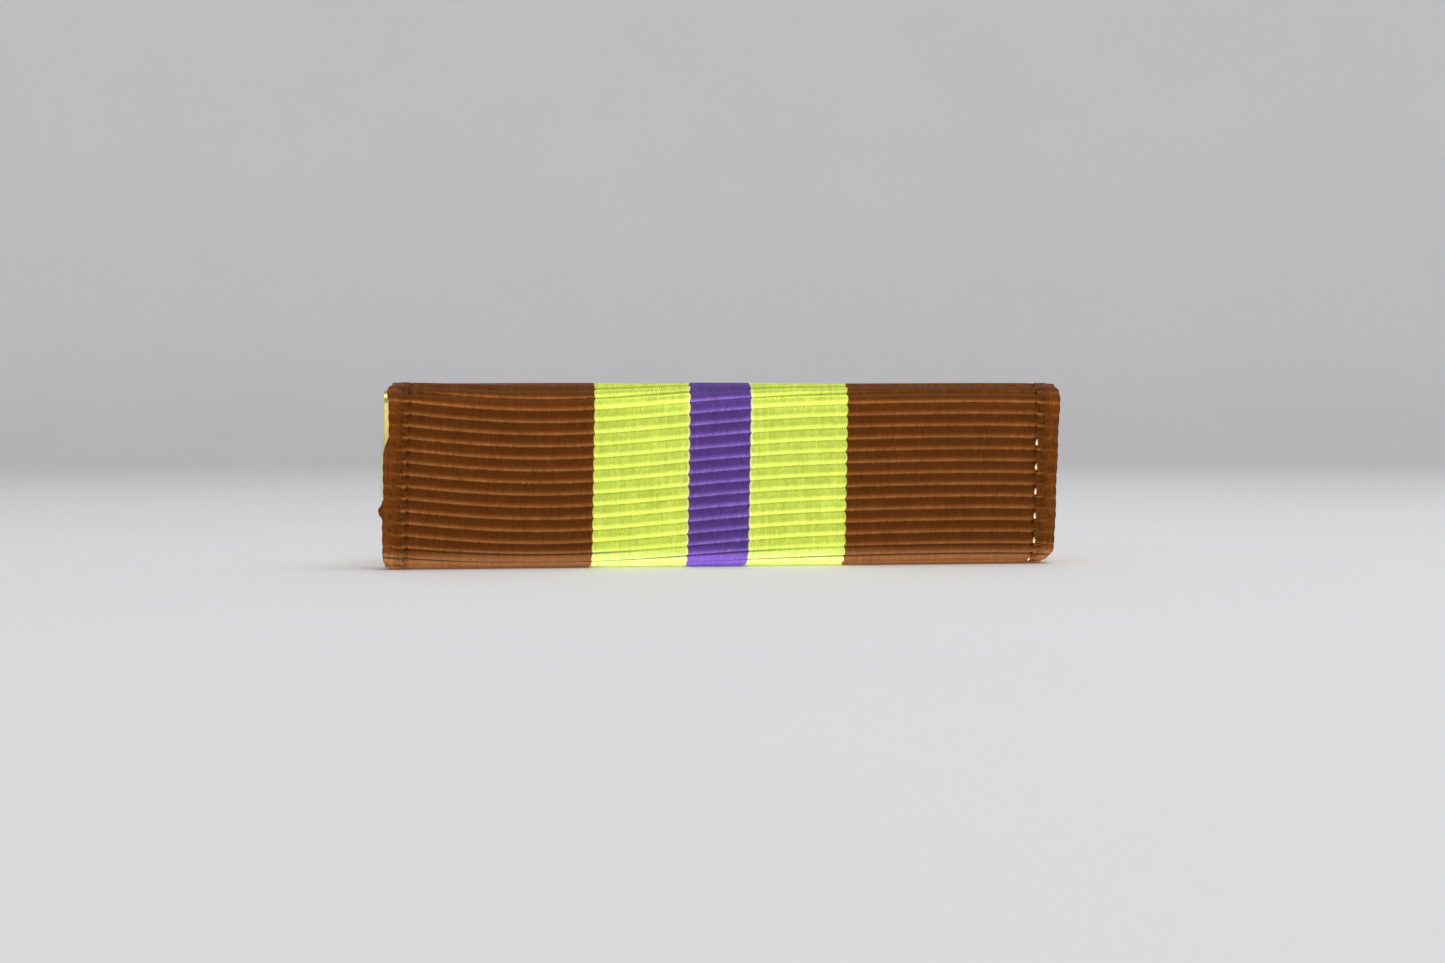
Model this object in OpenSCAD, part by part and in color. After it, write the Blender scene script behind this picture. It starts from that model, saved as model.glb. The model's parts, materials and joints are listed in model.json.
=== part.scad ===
// Single service ribbon bar: a woven ribbon glued round a slide-on brass backing,
// carried by a pinned mounting bar that two butterfly clutches hold to cloth.
// X runs along the bar, +Z is up as worn, the ribbon faces -Y and the pins point +Y.
// The origin is the middle of the bar's rear face, where the cloth lies against it.

/* [Ribbon] */
// Width of the woven ribbon, along the bar
ribbon_w = 34.9; // [32:0.1:38]
// Height of the covered face
ribbon_h = 9.5; // [9.4:0.1:10.4]
// Thickness of the ribbon
ribbon_t = 0.4; // [0.3:0.05:0.45]
// Width of the middle stripe
mid_stripe_w = 3.1; // [2:0.1:5]
// Width of each stripe beside the middle one
inner_stripe_w = 5; // [3:0.1:8]
// Radius of the ribbon where it turns over the backing's edges
ribbon_roll_r = 1.15; // [1.1:0.01:1.18]

/* [Backing] */
// Length of the brass backing
backing_w = 34.8; // [32:0.1:37.5]
// Thickness of its sheet
backing_t = 0.4; // [0.3:0.05:0.4]
// Width of each lip folded over the bar's edge
lip_w = 1.55; // [1.2:0.05:1.6]
// Thickness of the glue under the ribbon
glue_t = 0.05; // [0.05:0.01:0.08]
// Length of the bead of glue squeezed out at the left end
bead_len = 3.1; // [1:0.1:5]
// Radius of that bead
bead_r = 0.17; // [0.15:0.01:0.3]

/* [Mounting bar] */
// Length of the bar
bar_w = 34.2; // [32:0.1:36]
// Thickness of the bar's sheet
bar_t = 0.6; // [0.5:0.05:0.6]
// How far the pressed land stands behind the edges of the bar
land_rise = 0.95; // [0.95:0.05:1.2]
// Length of the pressed land
land_w = 32.8; // [30:0.1:33]
// Height of the pressed land
land_h = 5.2; // [5:0.1:5.3]
// Sliding gap all round between the bar and the backing
slide_gap = 0.05; // [0.03:0.01:0.08]

/* [Pins] */
// Distance between the two pins
pin_spacing = 22.2; // [18:0.1:23]
// Radius of the straight shank
shank_r = 0.5; // [0.4:0.01:0.5]
// Length of the straight shank behind the bar
shank_len = 3.4; // [3.2:0.1:3.4]
// Length of the pin behind the bar, to its point
pin_len = 6.1; // [5.6:0.1:6.2]
// Radius of the pin's head
head_r = 1.4; // [1.1:0.05:1.5]

/* [Clutches] */
// Thickness of cloth held between the bar and the clutches
cloth_t = 2.2; // [2.1:0.1:2.3]
// Radius of a clutch
clutch_r = 4.7; // [4.6:0.05:4.8]
// Depth of a clutch, from its front face to its back
clutch_depth = 4.85; // [4.8:0.05:5]
// Thickness of the clutch's brass sheet
clutch_t = 0.3; // [0.25:0.01:0.3]
// Radius of the hole that leads the pin in
lead_r = 1.3; // [1.2:0.05:1.35]
// Gap between the pin's shank and the jaws
jaw_gap = 0.03; // [0.02:0.01:0.08]
// Thickness of the spring strip and the wings
strip_t = 0.28; // [0.2:0.01:0.28]
// Width of the spring strip at the wings
strip_w = 3.8; // [3:0.1:3.8]
// Width of its middle part, under the bridge
spring_w = 2.8; // [2:0.1:2.9]
// Distance of each wing's hinge from the pin
hinge_x = 2.4; // [2.3:0.05:2.5]
// Radius of the wing's rounded end, from the middle of the strip
ear_r = 3.2; // [2.8:0.1:3.2]

/* [Hidden] */
$fn = 64;
cut = 0.5;

// Depths, from the cloth's face at 0 forwards to the ribbon's face
flange_back = -land_rise;
flange_front = flange_back - bar_t;
backing_front = flange_front - slide_gap - backing_t;
backing_back = flange_back + slide_gap + backing_t;
glue_front = backing_front - glue_t;
glue_back = backing_back + glue_t;
ribbon_front = glue_front - ribbon_t;
ribbon_back = glue_back + ribbon_t;

// Heights and edge radii of the nested wraps
glue_h = ribbon_h - 2 * ribbon_t;
backing_h = glue_h - 2 * glue_t;
channel_h = backing_h - 2 * backing_t;
bar_h = channel_h - 2 * slide_gap;
glue_roll_r = ribbon_roll_r - ribbon_t;
backing_roll_r = glue_roll_r - glue_t;
channel_roll_r = backing_roll_r - backing_t;
bar_edge_r = channel_roll_r - slide_gap;
lip_edge = backing_h / 2 - lip_w;
tail_edge = lip_edge + 0.1;

outer_stripe_w = (ribbon_w - mid_stripe_w) / 2 - inner_stripe_w;
bead_z = 0.35;

// The bar's pressed land
land_corner_r = 0.8;
land_floor_t = 0.6;
land_wall = 0.4;
dimple_r = 1;
dimple_rise = 0.03;
dimple_root = 0.08;
dimple_x = 9;

// The pins
head_t = 0.35;
head_edge_r = 0.15;
shoulder_r = 0.75;
groove_r = 0.33;
groove_len = 0.6;
groove_slope = 0.15;
point_len = 1.5;
point_r = 0.06;
solder_leg = 0.35;

// The clutches, with depths measured from the clutch's front face
disc_t = 0.35;
ring_groove_at = 2.6;
ring_groove_r = 0.14;
lead_len = 0.85;
rim_h = 0.95;
rim_t = 0.32;
rim_lip = 0.6;
crimp_gap = 0.02;
cover_flange_r = clutch_r - rim_t - crimp_gap;
cover_flange_t = 0.27;
cover_r = clutch_r - rim_lip - 0.05;
cover_h = 1.8;
cover_roll_r = 0.7;
bridge_len = 5.8;
bridge_gap = 0.1;
bridge_roll_r = 0.8;
strip_back = clutch_depth - clutch_t;
curl_r = 0.4;
barrel_r = 0.35;
hinge_y = strip_back - strip_t - curl_r;
jaw_tip = [0.25, 1.4];
ear_bends = [[3.1, 3.3], [4.2, 3.05], [5.5, 3.95]];
ear_start = 3.1;
ear_overlap = 0.2;
ear_middle = 2.4;
grip_rib_r = 0.2;

brass = "#c9a24a";
bright_brass = "#d8b766";
steel = "#b9bdc0";
solder_grey = "#a3a5a6";
glue_clear = "#c9cdb8";
brown = "#6b3210";
lime = "#c8dc50";
purple = "#503a9a";

// A straight strip of 2D outline from one point to another, with round ends
module strip_2d(from, to, t) {
  run = to - from;
  for (end = [from, to]) translate(end) circle(d = t, $fn = 32);
  translate(from) rotate(atan2(run.y, run.x)) translate([0, -t / 2]) square([norm(run), t]);
}

// A rectangle of 2D outline with round corners, between two opposite corners
module round_rect_2d(low, high, r) {
  translate([low.x + r, low.y]) square([high.x - low.x - 2 * r, high.y - low.y]);
  translate([low.x, low.y + r]) square([high.x - low.x, high.y - low.y - 2 * r]);
  for (x = [low.x + r, high.x - r], y = [low.y + r, high.y - r]) translate([x, y]) circle(r = r);
}

// The section of a wrap that goes round the front and both edges and ends in two lips behind
module wrap_2d(front, back, h, r, t, edge) {
  difference() {
    round_rect_2d([front, -h / 2], [back, h / 2], r);
    round_rect_2d([front + t, t - h / 2], [back - t, h / 2 - t], r - t);
    translate([back - t - cut, -edge]) square([t + 2 * cut, 2 * edge]);
  }
}

// Extrudes an outline drawn in Y and Z along X, between two values of X
module along_x(from, to) {
  translate([from, 0, 0]) rotate([90, 0, 90]) linear_extrude(to - from) children();
}

// Extrudes an outline drawn in X and Z along Y, between two values of Y
module along_y(from, to) {
  translate([0, to, 0]) rotate([90, 0, 0]) linear_extrude(to - from) children();
}

// Turns an outline drawn as radius and depth round an axis along Y
module turned() {
  rotate([-90, 0, 0]) rotate_extrude() children();
}

// ---- the ribbon unit, which slides on to the bar ----

// One stripe of the ribbon, from one value of X to another
module stripe(from, to) {
  along_x(from, to) wrap_2d(ribbon_front, ribbon_back, ribbon_h, ribbon_roll_r, ribbon_t, tail_edge);
}

module ribbon() {
  half = ribbon_w / 2;
  mid = mid_stripe_w / 2;
  color(brown) {
    stripe(-half, outer_stripe_w - half);
    stripe(half - outer_stripe_w, half);
  }
  color(lime) {
    stripe(outer_stripe_w - half, -mid);
    stripe(mid, half - outer_stripe_w);
  }
  color(purple) stripe(-mid, mid);
}

module adhesive_film() {
  bead_x = -ribbon_w / 2 - bead_r;
  color(glue_clear) {
    along_x(-backing_w / 2, backing_w / 2)
      wrap_2d(glue_front, glue_back, glue_h, glue_roll_r, glue_t, tail_edge);
    translate([bead_x, backing_front, bead_z]) {
      cylinder(r = bead_r, h = bead_len - 2 * bead_r, center = true);
      for (side = [-1, 1]) translate([0, 0, side * (bead_len / 2 - bead_r)]) sphere(r = bead_r);
    }
    translate([bead_x, glue_front, bead_z - bead_len / 2 + bead_r])
      cube([bead_r + 2 * glue_t, glue_t, bead_len - 2 * bead_r]);
  }
}

module ribbon_backing() {
  color(brass) along_x(-backing_w / 2, backing_w / 2)
    wrap_2d(backing_front, backing_back, backing_h, backing_roll_r, backing_t, lip_edge);
}

// ---- the mounting bar and what is fixed to it ----

// The outline of the pressed land, grown by a margin
module land_2d(margin) {
  corner = [land_w / 2 + margin, land_h / 2 + margin];
  round_rect_2d(-corner, corner, land_corner_r + margin);
}

module mounting_bar() {
  floor_front = -land_floor_t;
  color(brass) difference() {
    union() {
      along_x(-bar_w / 2, bar_w / 2)
        round_rect_2d([flange_front, -bar_h / 2], [flange_back, bar_h / 2], bar_edge_r);
      along_y(flange_back - bar_t / 2, 0) land_2d(0);
      for (x = [-dimple_x, dimple_x], side = [-1, 1])
        translate([x, flange_front + dimple_r - dimple_rise, side * (land_h + bar_h) / 4])
          intersection() {
            sphere(r = dimple_r);
            translate([-dimple_r, -dimple_r, -dimple_r]) cube([2 * dimple_r, dimple_root, 2 * dimple_r]);
          }
    }
    along_y(flange_front - cut, floor_front) land_2d(-land_wall);
    for (x = [-1, 1] * pin_spacing / 2) translate([x, floor_front - cut, 0]) rotate([-90, 0, 0])
      cylinder(r = shoulder_r, h = land_floor_t + 2 * cut);
  }
}

// A pin turned in one piece: head, staked shoulder, shank, grip groove and point
module pin() {
  head_back = -land_floor_t;
  groove_end = shank_len + groove_len;
  point_start = pin_len - point_len;
  color(steel) turned() polygon([
    [0, head_back - head_t],
    [head_r - head_edge_r, head_back - head_t],
    [head_r, head_back - head_t + head_edge_r],
    [head_r, head_back],
    [shoulder_r, head_back],
    [shoulder_r, 0],
    [shank_r, 0],
    [shank_r, shank_len],
    [groove_r, shank_len + groove_slope],
    [groove_r, groove_end - groove_slope],
    [shank_r, groove_end],
    [shank_r, point_start],
    [point_r, pin_len - point_r],
    [0, pin_len]
  ]);
}

// The fillet of solder round a pin's head, on the floor of the land
module solder() {
  color(solder_grey) turned() translate([head_r, -land_floor_t - solder_leg])
    difference() {
      square(solder_leg);
      translate([solder_leg, 0]) circle(r = solder_leg);
      translate([-cut, -cut]) square([2 * cut, cut + head_edge_r]);
    }
}

module left_pin() { at_pin(-1) pin(); }
module right_pin() { at_pin(1) pin(); }
module left_solder() { at_pin(-1) solder(); }
module right_solder() { at_pin(1) solder(); }

// Puts a part on the axis of the left pin, side -1, or of the right pin, side 1
module at_pin(side) {
  translate([side * pin_spacing / 2, 0, 0]) children();
}

// ---- a butterfly clutch, drawn from its front face at 0 towards +Y ----

// The disc against the cloth, with its funnel for the pin and its rim crimped over the cover
module clutch_base() {
  color(bright_brass) turned() difference() {
    union() {
      translate([lead_r + disc_t, 0]) square([clutch_r - lead_r - disc_t - rim_t, disc_t]);
      translate([lead_r, disc_t]) square([clutch_t, lead_len - clutch_t / 2 - disc_t]);
      translate([lead_r, 0]) intersection() {
        translate([disc_t, disc_t]) circle(r = disc_t);
        square(disc_t);
      }
      translate([lead_r + clutch_t / 2, lead_len - clutch_t / 2]) circle(d = clutch_t, $fn = 32);
      round_rect_2d([clutch_r - rim_lip, 0], [clutch_r, rim_h], rim_t / 2);
    }
    translate([cover_r - cut, disc_t])
      square([cover_flange_r - cover_r + cut + crimp_gap, cover_flange_t + crimp_gap]);
    translate([ring_groove_at, 0]) circle(r = ring_groove_r, $fn = 32);
  }
}

// The sheet cover: a shallow dome and a bridge across it that roofs the spring
module clutch_cover() {
  flange_top = disc_t + cover_flange_t;
  inside = strip_w / 2 + bridge_gap;
  outside = inside + clutch_t;
  color(bright_brass) difference() {
    union() {
      turned() difference() {
        union() {
          translate([0, disc_t]) square([cover_flange_r, cover_flange_t]);
          dome_2d(disc_t, cover_r, cover_h, cover_roll_r);
        }
        dome_2d(0, cover_r - clutch_t, cover_h - clutch_t, cover_roll_r - clutch_t);
      }
      along_x(-bridge_len / 2, bridge_len / 2)
        round_rect_2d([flange_top, -outside], [clutch_depth, outside], bridge_roll_r);
    }
    along_x(-bridge_len / 2 - cut, bridge_len / 2 + cut)
      round_rect_2d([0, -inside], [clutch_depth - clutch_t, inside], bridge_roll_r - clutch_t);
  }
}

// Half of the section of a dome standing on a depth: a straight side, a rolled shoulder and a flat top
module dome_2d(low, r, h, roll_r) {
  translate([0, low]) square([r - roll_r, h - low]);
  translate([0, low]) square([r, h - roll_r - low]);
  translate([r - roll_r, h - roll_r]) circle(r = roll_r);
}

// The middle of the spring strip, whose two ends curl round the wings' barrels
module clutch_spring() {
  far = 2 * curl_r + strip_t;
  color(bright_brass) linear_extrude(spring_w, center = true) {
    translate([-hinge_x, strip_back - strip_t]) square([2 * hinge_x, strip_t]);
    for (side = [-1, 1]) translate([side * hinge_x, hinge_y]) difference() {
      circle(r = curl_r + strip_t);
      circle(r = curl_r);
      translate([side > 0 ? 0 : -far, -far]) square([far, 2 * far]);
      translate([-far, -far]) square([2 * far, far]);
    }
  }
}

// A wing on the side of +X: a jaw beside the pin, the hinge's barrel and the ear that is squeezed
module clutch_wing() {
  barrel = [hinge_x, hinge_y];
  path = concat([jaw_tip, barrel], ear_bends);
  color(bright_brass) difference() {
    intersection() {
      linear_extrude(2 * ear_r, center = true) {
        for (i = [0:len(path) - 2]) strip_2d(path[i], path[i + 1], strip_t);
        translate(barrel) circle(r = barrel_r);
        for (i = [1, 2]) translate(ear_bends[i]) circle(r = grip_rib_r, $fn = 32);
      }
      along_y(0, clutch_depth) {
        translate([0, -strip_w / 2]) square([ear_start + ear_overlap, strip_w]);
        intersection() {
          translate([ear_middle, 0]) circle(r = ear_r);
          translate([ear_start, -ear_r]) square(2 * ear_r);
        }
      }
    }
    rotate([-90, 0, 0]) cylinder(r = shank_r + jaw_gap, h = clutch_depth);
  }
}

// Puts a clutch part behind the cloth on the left pin, side -1, or the right one, side 1
module at_clutch(side) {
  at_pin(side) translate([0, cloth_t, 0]) children();
}

// Turns a wing so that it points towards -X
module facing_left() {
  mirror([1, 0, 0]) children();
}

module left_clutch_base() { at_clutch(-1) clutch_base(); }
module left_clutch_cover() { at_clutch(-1) clutch_cover(); }
module left_clutch_spring() { at_clutch(-1) clutch_spring(); }
module left_clutch_outer_wing() { at_clutch(-1) facing_left() clutch_wing(); }
module left_clutch_inner_wing() { at_clutch(-1) clutch_wing(); }
module right_clutch_base() { at_clutch(1) clutch_base(); }
module right_clutch_cover() { at_clutch(1) clutch_cover(); }
module right_clutch_spring() { at_clutch(1) clutch_spring(); }
module right_clutch_outer_wing() { at_clutch(1) clutch_wing(); }
module right_clutch_inner_wing() { at_clutch(1) facing_left() clutch_wing(); }

ribbon();
adhesive_film();
ribbon_backing();
mounting_bar();
left_pin();
right_pin();
left_solder();
right_solder();
left_clutch_base();
left_clutch_cover();
left_clutch_spring();
left_clutch_outer_wing();
left_clutch_inner_wing();
right_clutch_base();
right_clutch_cover();
right_clutch_spring();
right_clutch_outer_wing();
right_clutch_inner_wing();
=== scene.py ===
"""Looks for the service ribbon bar: a ribbed woven ribbon, brass fittings, clear glue and a pale studio."""

import math

import json

import bpy
import numpy as np
from mathutils import Matrix, Vector


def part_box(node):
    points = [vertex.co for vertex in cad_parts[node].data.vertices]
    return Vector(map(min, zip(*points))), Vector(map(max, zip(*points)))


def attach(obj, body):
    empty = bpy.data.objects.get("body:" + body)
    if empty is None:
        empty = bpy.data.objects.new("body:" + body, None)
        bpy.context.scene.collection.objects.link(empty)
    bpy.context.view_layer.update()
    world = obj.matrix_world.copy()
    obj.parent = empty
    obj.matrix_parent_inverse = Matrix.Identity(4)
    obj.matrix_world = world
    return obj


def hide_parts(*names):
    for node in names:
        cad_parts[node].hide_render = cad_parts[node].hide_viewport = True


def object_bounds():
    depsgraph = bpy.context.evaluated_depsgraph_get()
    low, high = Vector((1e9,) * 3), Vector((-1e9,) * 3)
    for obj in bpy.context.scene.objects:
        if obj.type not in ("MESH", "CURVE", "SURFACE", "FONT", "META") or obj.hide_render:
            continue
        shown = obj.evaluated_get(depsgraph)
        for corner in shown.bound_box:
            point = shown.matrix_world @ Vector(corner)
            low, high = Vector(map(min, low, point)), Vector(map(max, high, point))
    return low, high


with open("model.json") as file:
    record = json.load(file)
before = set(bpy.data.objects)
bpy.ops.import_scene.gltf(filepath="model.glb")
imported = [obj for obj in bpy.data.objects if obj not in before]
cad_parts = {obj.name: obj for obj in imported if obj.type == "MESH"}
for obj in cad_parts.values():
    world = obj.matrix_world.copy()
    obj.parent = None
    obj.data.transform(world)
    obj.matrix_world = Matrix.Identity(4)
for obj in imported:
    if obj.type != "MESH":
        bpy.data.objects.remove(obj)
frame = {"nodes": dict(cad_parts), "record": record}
CAD_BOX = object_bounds()

MM = 0.001
SEED = 7
rng = np.random.default_rng(SEED)


# ---------------------------------------------------------------- helpers


def smoothstep(low, high, x):
    """0 below low, 1 above high, and a smooth rise between them."""
    t = np.clip((np.asarray(x, float) - low) / (high - low), 0, 1)
    return t * t * (3 - 2 * t)


def bell(x, middle, width):
    """1 at the middle, falling away on both sides."""
    return np.exp(-(((x - middle) / width) ** 2))


def new_object(name, verts, faces, smooth=True):
    mesh = bpy.data.meshes.new(name)
    mesh.from_pydata([tuple(v) for v in verts], [], [tuple(f) for f in faces])
    mesh.validate()
    if smooth:
        mesh.polygons.foreach_set("use_smooth", [True] * len(mesh.polygons))
    mesh.update()
    obj = bpy.data.objects.new(name, mesh)
    bpy.context.scene.collection.objects.link(obj)
    return obj


def dress(obj, material):
    obj.data.materials.clear()
    obj.data.materials.append(material)


def new_material(name):
    """A Principled material, with its node tree and its shader."""
    mat = bpy.data.materials.new(name)
    mat.use_nodes = True
    tree = mat.node_tree
    tree.nodes.clear()
    out = tree.nodes.new("ShaderNodeOutputMaterial")
    bsdf = tree.nodes.new("ShaderNodeBsdfPrincipled")
    tree.links.new(bsdf.outputs[0], out.inputs["Surface"])
    return mat, tree, bsdf


OPAQUE = 1
MIX_A, MIX_B, MIX_RESULT = 6, 7, 2  # the Mix node's colour sockets, which share names with its other kinds


class Nodes:
    """Short ways to add and join shader nodes in one tree."""

    def __init__(self, tree):
        self.tree = tree

    def add(self, kind, **props):
        node = self.tree.nodes.new(kind)
        for key, value in props.items():
            setattr(node, key, value)
        return node

    def join(self, source, target):
        """Link a socket, or set a number, a colour with or without its alpha, or a vector."""
        if isinstance(source, (int, float)):
            target.default_value = source
        elif isinstance(source, tuple):
            whole = target.type == "VECTOR" or len(source) == len(target.default_value)
            target.default_value = source if whole else (*source, OPAQUE)
        else:
            self.tree.links.new(source, target)

    def math(self, operation, *values, clamp=False):
        node = self.add("ShaderNodeMath", operation=operation, use_clamp=clamp)
        for value, socket in zip(values, node.inputs):
            self.join(value, socket)
        return node.outputs[0]

    def product(self, first, *others):
        for other in others:
            first = self.math("MULTIPLY", first, other)
        return first

    def away(self, value, centre):
        """How far a value is from a centre, on either side."""
        return self.math("ABSOLUTE", self.math("SUBTRACT", value, centre))

    def ramp(self, x, low, high, to_low=0.0, to_high=1.0):
        """x taken smoothly from low..high to to_low..to_high."""
        node = self.add("ShaderNodeMapRange", interpolation_type="SMOOTHSTEP")
        for value, socket in zip((x, low, high, to_low, to_high), node.inputs):
            self.join(value, socket)
        return node.outputs[0]

    def fade(self, x, start, end):
        """1 up to start, and 0 from end on."""
        return self.ramp(x, start, end, 1.0, 0.0)

    def mix(self, factor, a, b, blend="MIX"):
        node = self.add("ShaderNodeMix", data_type="RGBA", blend_type=blend)
        self.join(factor, node.inputs["Factor"])
        self.join(a, node.inputs[MIX_A])
        self.join(b, node.inputs[MIX_B])
        return node.outputs[MIX_RESULT]

    def tint(self, a, b):
        """One colour times another."""
        return self.mix(1.0, a, b, "MULTIPLY")

    def noise(self, vector, scale, detail, roughness):
        node = self.add("ShaderNodeTexNoise")
        self.join(vector, node.inputs["Vector"])
        node.inputs["Scale"].default_value = scale
        node.inputs["Detail"].default_value = detail
        node.inputs["Roughness"].default_value = roughness
        return node.outputs["Fac"]

    def plane(self, x, y):
        """A point with these two coordinates."""
        node = self.add("ShaderNodeCombineXYZ")
        self.join(x, node.inputs[0])
        self.join(y, node.inputs[1])
        return node.outputs[0]

    def place(self, scale=(1, 1, 1)):
        """The point on the object, in metres, with each axis scaled."""
        coords = self.add("ShaderNodeTexCoord")
        mapping = self.add("ShaderNodeMapping")
        mapping.inputs["Scale"].default_value = scale
        self.join(coords.outputs["Object"], mapping.inputs["Vector"])
        return mapping.outputs["Vector"]

    def bump(self, height, strength, distance, normal=None):
        node = self.add("ShaderNodeBump")
        node.inputs["Strength"].default_value = strength
        node.inputs["Distance"].default_value = distance
        self.join(height, node.inputs["Height"])
        if normal is not None:
            self.join(normal, node.inputs["Normal"])
        return node.outputs["Normal"]


# ---------------------------------------------------------------- camera

SENSOR = 36.0
LENS = 49.8
DISTANCE = 103.9 * MM
TURN = math.radians(-6.73)  # round the object, towards its left end
RISE = math.radians(1.5)  # above the ribbon
ROLL = math.radians(-0.11)
AIM = Vector((-0.09, -1.3, -0.39)) * MM
CLIP_START = DISTANCE * 0.05
CLIP_END = 10


def rotation(angle, axis):
    return Matrix.Rotation(angle, 3, axis)


def make_camera():
    data = bpy.data.cameras.new("photo_camera")
    data.sensor_width = SENSOR
    data.lens = LENS
    data.clip_start = CLIP_START
    data.clip_end = CLIP_END
    camera = bpy.data.objects.new("photo_camera", data)
    bpy.context.scene.collection.objects.link(camera)
    level = rotation(math.pi / 2, "X")
    turned = rotation(ROLL, "Z") @ rotation(TURN, "Y") @ rotation(-RISE, "X")
    axes = level @ turned
    camera.location = AIM + axes.col[2] * DISTANCE
    camera.rotation_mode = "QUATERNION"
    camera.rotation_quaternion = axes.to_quaternion()
    bpy.context.scene.camera = camera


make_camera()


# ---------------------------------------------------------------- ribbon: its path round the backing
# All sizes of the ribbon, its threads and its glue are in millimetres.

LOW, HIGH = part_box("ribbon")
HALF_W = (HIGH.x - LOW.x) / MM / 2
RIBBON_H = (HIGH.z - LOW.z) / MM
FRONT = LOW.y / MM
BACK = HIGH.y / MM
GLUE_T = 0.05
THICK = (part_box("ribbon_backing")[0].y - LOW.y) / MM - GLUE_T
ROLL_R = 1.15  # radius of the ribbon's outer face where it turns over the backing's long edges
TAIL_EDGE = 2.85  # height of the cut edges behind, above and below the middle

FLAT_HALF = RIBBON_H / 2 - ROLL_R
SIDE = (BACK - FRONT) - 2 * ROLL_R
ARC = ROLL_R * math.pi / 2
HALF_CUT = FLAT_HALF + ARC + SIDE + ARC + (FLAT_HALF - TAIL_EDGE)

SKEW = 0.02  # lean of the two ends, sideways for each step up

# the ribs wander up and down along the bar in one long wave, with a lift and a ripple of half its length
BOW_LENGTH = 40
BOW_WAVE = 0.52
BOW_LIFT = 0.09
BOW_RIPPLE = 0.097

# how far the ribbon's ends draw in: each step is an amount, and the distances up or down the wrap where it
# starts and is complete
LEFT_PULL_UP = ((0.24, 1.2, 2.1), (-0.2, 4.1, 4.5), (0.3, 4.2, 5.2))
LEFT_PULL_DOWN = ((0.14, 4.1, 5.0),)
RIGHT_PULL_UP = ((-0.09, 0.0, 4.0), (0.12, 4.3, 5.0))
RIGHT_PULL_DOWN = ((0.05, 0.5, 3.5), (0.45, 3.9, 5.2))
PULL_REACH = 3  # the width at each end that draws in


def wrap(s):
    """Where a distance s along the ribbon's outer face lies: depth, height, and the outward normal."""
    s = np.asarray(s, float)
    sign = np.sign(s)
    a = np.abs(s)
    y, z = np.full_like(a, FRONT), a.copy()
    ny, nz = np.full_like(a, -1.0), np.zeros_like(a)

    # the turn from the front to the long edge
    turn = np.clip((a - FLAT_HALF) / ROLL_R, 0, math.pi / 2)
    on = a > FLAT_HALF
    y = np.where(on, FRONT + ROLL_R * (1 - np.cos(turn)), y)
    z = np.where(on, FLAT_HALF + ROLL_R * np.sin(turn), z)
    ny, nz = np.where(on, -np.cos(turn), ny), np.where(on, np.sin(turn), nz)

    # the long edge, the turn to the back, and the tail
    y = y + np.clip(a - FLAT_HALF - ARC, 0, SIDE)
    turn = np.clip((a - FLAT_HALF - ARC - SIDE) / ROLL_R, 0, math.pi / 2)
    on = a > FLAT_HALF + ARC + SIDE
    y = np.where(on, BACK - ROLL_R + ROLL_R * np.sin(turn), y)
    z = np.where(on, FLAT_HALF + ROLL_R * np.cos(turn), z)
    ny, nz = np.where(on, np.sin(turn), ny), np.where(on, np.cos(turn), nz)
    z = z - np.clip(a - FLAT_HALF - 2 * ARC - SIDE, 0, None)
    return y, z * sign, ny, nz * sign


def bow(x):
    """How far the ribs wander up or down at a place along the bar."""
    wave = 2 * math.pi * x / BOW_LENGTH
    return BOW_WAVE * np.sin(wave) + BOW_LIFT * (1 - np.cos(wave)) - BOW_RIPPLE * (1 - np.cos(2 * wave))


def draw_in(steps, distance):
    return sum(amount * smoothstep(start, end, distance) for amount, start, end in steps)


def edge_pull(s, side):
    """How far the ribbon's end draws in at a distance s round the wrap, at the left (-1) or the right (1)."""
    if side < 0:
        return draw_in(LEFT_PULL_UP, s) + draw_in(LEFT_PULL_DOWN, -s)
    return draw_in(RIGHT_PULL_UP, s) + draw_in(RIGHT_PULL_DOWN, -s)


def place_on_ribbon(x, s, lift):
    """Points at x along the bar and s round the wrap, lifted off the surface that the ribs' crests touch."""
    x, s = np.broadcast_arrays(np.asarray(x, float), np.asarray(s, float))
    y, z, ny, nz = wrap(s)
    share = np.clip((np.abs(x) - HALF_W + PULL_REACH) / PULL_REACH, 0, 1) ** 2
    pull = np.where(x < 0, edge_pull(s, -1), -edge_pull(s, 1)) * share
    return np.stack([x + SKEW * z + pull, y + ny * lift, z + nz * lift], -1)


def add_weave(obj, x, u, s):
    """Tell the ribbon's material where each point is: along the bar, in ribs, and round the wrap."""
    layer = obj.data.attributes.new("weave", "FLOAT_VECTOR", "POINT")
    layer.data.foreach_set("vector", np.stack([x, u, s], -1).astype(np.float32).ravel())


# ---------------------------------------------------------------- ribbon: the woven sheet

RIB_PITCH = 0.6164
RIB_DEPTH = 0.16
RIB_CREST = 0.38  # where in a rib its crest lies, from its lower groove at 0 to its upper one at 1
RIB_LOWER_FALL = 2.0  # how sharply a rib falls from its crest to its lower groove
RIB_UPPER_FALL = 1.8
RIB_PHASE = -0.165  # where the middle rib's middle lies, in ribs from the middle of the face
RIBS = int(HALF_CUT / RIB_PITCH) + 2  # on each side of the middle one
RIB_DRAWS = 2 * RIBS + 3  # a random number for each rib, and one to spare at either end

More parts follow.
